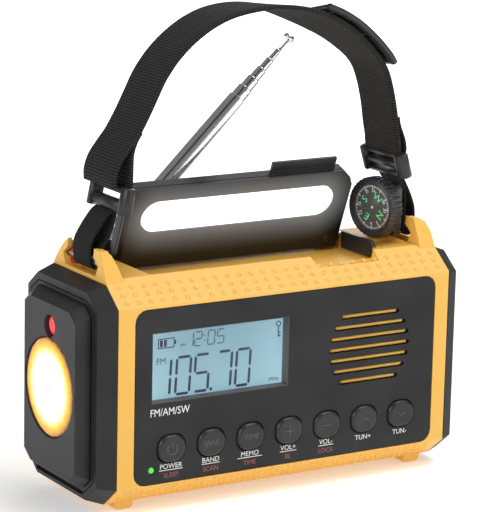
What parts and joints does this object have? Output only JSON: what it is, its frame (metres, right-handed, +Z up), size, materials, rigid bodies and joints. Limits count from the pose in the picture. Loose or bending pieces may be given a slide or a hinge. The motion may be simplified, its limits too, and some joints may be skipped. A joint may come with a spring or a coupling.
{
  "type": "emergency radio",
  "caption": "Box-shaped emergency radio with sloping edges, a flip-up lamp, a torch in one end, a telescopic antenna, a rear crank and a webbing carry strap with a compass.",
  "frame": {"origin": "centre of the bounding box in plan, on the plane the feet stand on", "axes": "+X from the torch end to the socket end, +Y from the front panel to the crank side, +Z up"},
  "size_m": [0.164, 0.0616, 0.183],
  "materials": {
    "yellow_shell": "satin amber-yellow moulded ABS, light grain, raised dots on the slopes",
    "black_plastic": "black satin moulded ABS",
    "grey_plastic": "dark grey satin ABS",
    "panel_plastic": "charcoal fine-grain ABS",
    "clear_plastic": "clear polycarbonate",
    "display": "back-lit pale blue display",
    "circuit_board": "green solder-masked laminate",
    "rubber": "matt black silicone rubber",
    "chrome": "bright chrome plating",
    "steel": "plain steel",
    "webbing": "black ribbed polypropylene webbing",
    "narrow_strap": "black smooth flat strap",
    "diffuser": "opal white, lit from behind",
    "white_plastic": "natural white acetal",
    "red_lens": "translucent red",
    "green_lens": "translucent green, lit",
    "cell_wrap": "shrink-wrapped lithium cell",
    "solar_glass": "dark blue solar laminate",
    "compass_body": "black ABS with a knurled rim",
    "compass_dial": "black dial, white and green markings"
  },
  "bodies": {
    "housing": {"front_shell": "yellow_shell", "rear_shell": "yellow_shell", "left_end_cap": "black_plastic", "right_end_cap": "black_plastic", "torch_cover": "grey_plastic", "front_panel": "panel_plastic", "lcd_window": "clear_plastic", "lcd_module": "display", "main_board": "circuit_board", "keypad_mat": "rubber", "power_led_lens": "green_lens", "speaker_basket": "steel", "speaker_cone": "rubber", "torch_reflector": "chrome", "torch_lens": "clear_plastic", "torch_led_board": "white_plastic", "signal_lens": "red_lens", "battery_cell": "cell_wrap", "generator": "steel", "socket_board": "circuit_board", "lamp_side_rail": "black_plastic", "strap_bar_left": "steel", "strap_bar_right": "steel", "lamp_hinge_rod": "steel", "antenna_base": "black_plastic", "webbing": "webbing", "webbing_tail": "webbing", "strap_tab_left": "narrow_strap", "strap_tab_right": "narrow_strap", "left_buckle": "black_plastic", "strap_adapter_right": "black_plastic", "strap_slider": "black_plastic", "compass_case": "compass_body"},
    "key_power": {"button_power": "black_plastic"},
    "key_band": {"button_band": "black_plastic"},
    "key_memo_time": {"button_memo_time": "black_plastic"},
    "key_volume_up": {"button_volume_up": "black_plastic"},
    "key_volume_down": {"button_volume_down": "black_plastic"},
    "key_tune_up": {"button_tune_up": "black_plastic"},
    "key_tune_down": {"button_tune_down": "black_plastic"},
    "battery_hatch": {"battery_door": "yellow_shell"},
    "port_flap": {"port_cover": "rubber"},
    "crank": {"crank_gear": "white_plastic", "crank_arm": "black_plastic"},
    "grip_spindle": {"grip_post": "steel"},
    "grip": {"grip_sleeve": "black_plastic"},
    "pinion": {"generator_pinion": "white_plastic"},
    "lamp": {"lamp_case": "panel_plastic", "lamp_diffuser": "diffuser", "lamp_led_board": "circuit_board", "solar_frame": "black_plastic", "solar_cell": "solar_glass"},
    "compass_dial": {"compass_card": "compass_dial"},
    "antenna_1": {"antenna_tube_1": "chrome"},
    "antenna_2": {"antenna_tube_2": "chrome"},
    "antenna_3": {"antenna_tube_3": "chrome"},
    "antenna_4": {"antenna_tube_4": "chrome"},
    "antenna_5": {"antenna_tube_5": "chrome"},
    "antenna_6": {"antenna_tube_6": "chrome"},
    "antenna_7": {"antenna_tube_7": "chrome"}
  },
  "joints": [
    {"name": "press_power", "type": "slide", "parent": "housing", "child": "key_power", "axis": [0, 1, 0], "range_m": [0, 0.0008], "stiffness_N_per_m": 600},
    {"name": "press_band", "type": "slide", "parent": "housing", "child": "key_band", "axis": [0, 1, 0], "range_m": [0, 0.0008], "stiffness_N_per_m": 600},
    {"name": "press_memo_time", "type": "slide", "parent": "housing", "child": "key_memo_time", "axis": [0, 1, 0], "range_m": [0, 0.0008], "stiffness_N_per_m": 600},
    {"name": "press_volume_up", "type": "slide", "parent": "housing", "child": "key_volume_up", "axis": [0, 1, 0], "range_m": [0, 0.0008], "stiffness_N_per_m": 600},
    {"name": "press_volume_down", "type": "slide", "parent": "housing", "child": "key_volume_down", "axis": [0, 1, 0], "range_m": [0, 0.0008], "stiffness_N_per_m": 600},
    {"name": "press_tune_up", "type": "slide", "parent": "housing", "child": "key_tune_up", "axis": [0, 1, 0], "range_m": [0, 0.0008], "stiffness_N_per_m": 600},
    {"name": "press_tune_down", "type": "slide", "parent": "housing", "child": "key_tune_down", "axis": [0, 1, 0], "range_m": [0, 0.0008], "stiffness_N_per_m": 600},
    {"name": "battery_hatch_hinge", "type": "hinge", "parent": "housing", "child": "battery_hatch", "pos_m": [-0.02923, 0.0295, 0.01875], "axis": [-1, 0, 0], "range_deg": [0, 90]},
    {"name": "port_flap_hinge", "type": "hinge", "parent": "housing", "child": "port_flap", "pos_m": [0.08128, 0.013, 0.052], "axis": [0, 0, 1], "range_deg": [0, 100]},
    {"name": "crank_spin", "type": "hinge", "parent": "housing", "child": "crank", "pos_m": [0.03877, 0.01765, 0.0447], "axis": [0, 1, 0], "continuous": true},
    {"name": "generator_spin", "type": "hinge", "parent": "housing", "child": "pinion", "pos_m": [0.01782, 0.01215, 0.0568], "axis": [0, 1, 0], "continuous": true},
    {"name": "grip_fold", "type": "hinge", "parent": "crank", "child": "grip_spindle", "pos_m": [0.01537, 0.02525, 0.0447], "axis": [0, 0, 1], "range_deg": [0, 90]},
    {"name": "grip_spin", "type": "hinge", "parent": "grip_spindle", "child": "grip", "pos_m": [0.02538, 0.02525, 0.0447], "axis": [1, 0, 0], "continuous": true},
    {"name": "lamp_hinge", "type": "hinge", "parent": "housing", "child": "lamp", "pos_m": [0.00317, 0.01545, 0.0859], "axis": [1, 0, 0], "range_deg": [-21.5, 68.5]},
    {"name": "antenna_tilt", "type": "hinge", "parent": "housing", "child": "antenna_1", "pos_m": [-0.04503, 0.02345, 0.0876], "axis": [0, -1, 0], "range_deg": [-43.9, 46.1]},
    {"name": "antenna_slide_2", "type": "slide", "parent": "antenna_1", "child": "antenna_2", "axis": [0.7206, 0, 0.6934], "range_m": [-0.0051, 0.055]},
    {"name": "antenna_slide_3", "type": "slide", "parent": "antenna_2", "child": "antenna_3", "axis": [0.7206, 0, 0.6934], "range_m": [-0.0051, 0.055]},
    {"name": "antenna_slide_4", "type": "slide", "parent": "antenna_3", "child": "antenna_4", "axis": [0.7206, 0, 0.6934], "range_m": [-0.0051, 0.055]},
    {"name": "antenna_slide_5", "type": "slide", "parent": "antenna_4", "child": "antenna_5", "axis": [0.7206, 0, 0.6934], "range_m": [-0.0051, 0.055]},
    {"name": "antenna_slide_6", "type": "slide", "parent": "antenna_5", "child": "antenna_6", "axis": [0.7206, 0, 0.6934], "range_m": [-0.0051, 0.055]},
    {"name": "antenna_slide_7", "type": "slide", "parent": "antenna_6", "child": "antenna_7", "axis": [0.7206, 0, 0.6934], "range_m": [-0.0051, 0.055]},
    {"name": "compass_dial_spin", "type": "hinge", "parent": "housing", "child": "compass_dial", "pos_m": [0.05817, -0.00195, 0.1001], "axis": [0.9724, 0.2334, 0], "continuous": true}
  ],
  "couplings": [
    {"joint": "generator_spin", "follows": "crank_spin", "ratio": -3}
  ]
}
